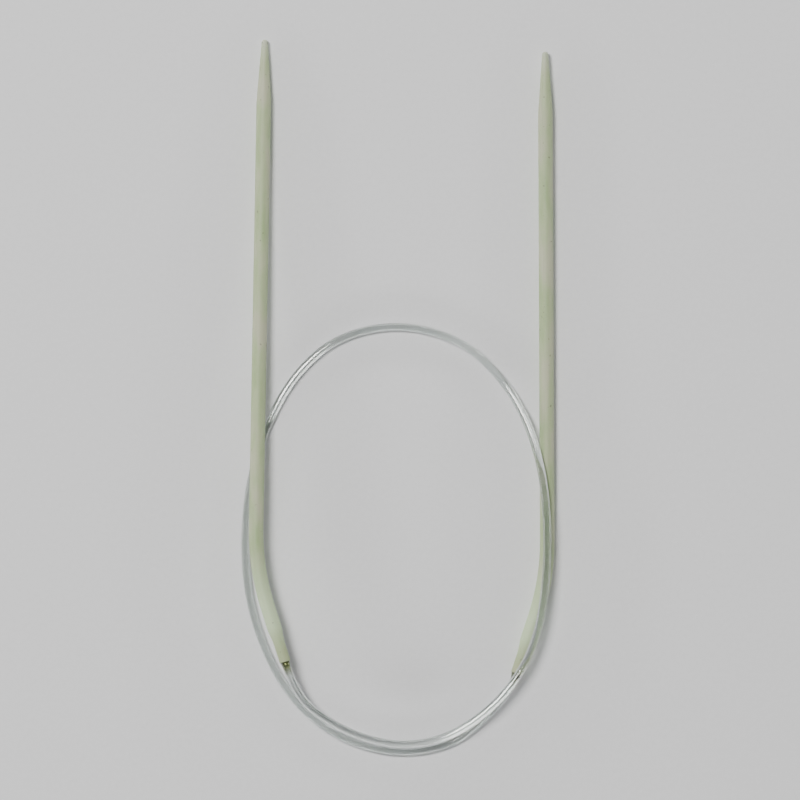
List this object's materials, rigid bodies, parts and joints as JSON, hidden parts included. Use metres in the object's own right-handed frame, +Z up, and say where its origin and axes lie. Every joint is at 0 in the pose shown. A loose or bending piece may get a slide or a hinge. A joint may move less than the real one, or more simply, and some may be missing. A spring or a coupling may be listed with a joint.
{
  "type": "circular knitting needle",
  "caption": "Circular knitting needle: two bent, pointed aluminium tips joined by a clear nylon cord, coiled once for storage.",
  "frame": {"origin": "on the surface that the needle lies on, under the middle of the two tips' common box", "axes": "+Y towards the points, +X from the left tip to the right one, +Z up from the surface"},
  "size_m": [0.0696, 0.1591, 0.0082],
  "materials": {
    "enamel": "satin grey-green enamel over aluminium",
    "nylon": "clear, slightly milky nylon monofilament",
    "adhesive": "cured clear adhesive, slightly yellow"
  },
  "bodies": {
    "cord": {"cord_loop": "nylon", "cord_flex_bottom": "nylon", "cord_flex_right": "nylon"},
    "left_strand": {"cord_flex_left": "nylon"},
    "left_needle": {"tip_left": "enamel", "cord_end_left": "nylon", "adhesive_left": "adhesive"},
    "right_needle": {"tip_right": "enamel", "cord_end_right": "nylon", "adhesive_right": "adhesive"}
  },
  "joints": [
    {"name": "left_tip_swing", "type": "hinge", "parent": "cord", "child": "left_strand", "pos_m": [0.01415, -0.08195, 0.00386], "axis": [0, 0, 1], "range_deg": [-10, 30], "stiffness_Nm_per_rad": 0.041, "deforming": ["cord_flex_bottom"]},
    {"name": "left_tip_lift", "type": "hinge", "parent": "left_strand", "child": "left_needle", "pos_m": [-0.01744, -0.07997, 0.00478], "axis": [0.9532, 0.3024, 0], "range_deg": [0, 60], "stiffness_Nm_per_rad": 0.056, "deforming": ["cord_flex_left"]},
    {"name": "right_tip_swing", "type": "hinge", "parent": "cord", "child": "right_needle", "pos_m": [0.01366, -0.08413, 0.00093], "axis": [0, 0, -1], "range_deg": [0, 30], "stiffness_Nm_per_rad": 0.045, "deforming": ["cord_flex_right"]}
  ]
}
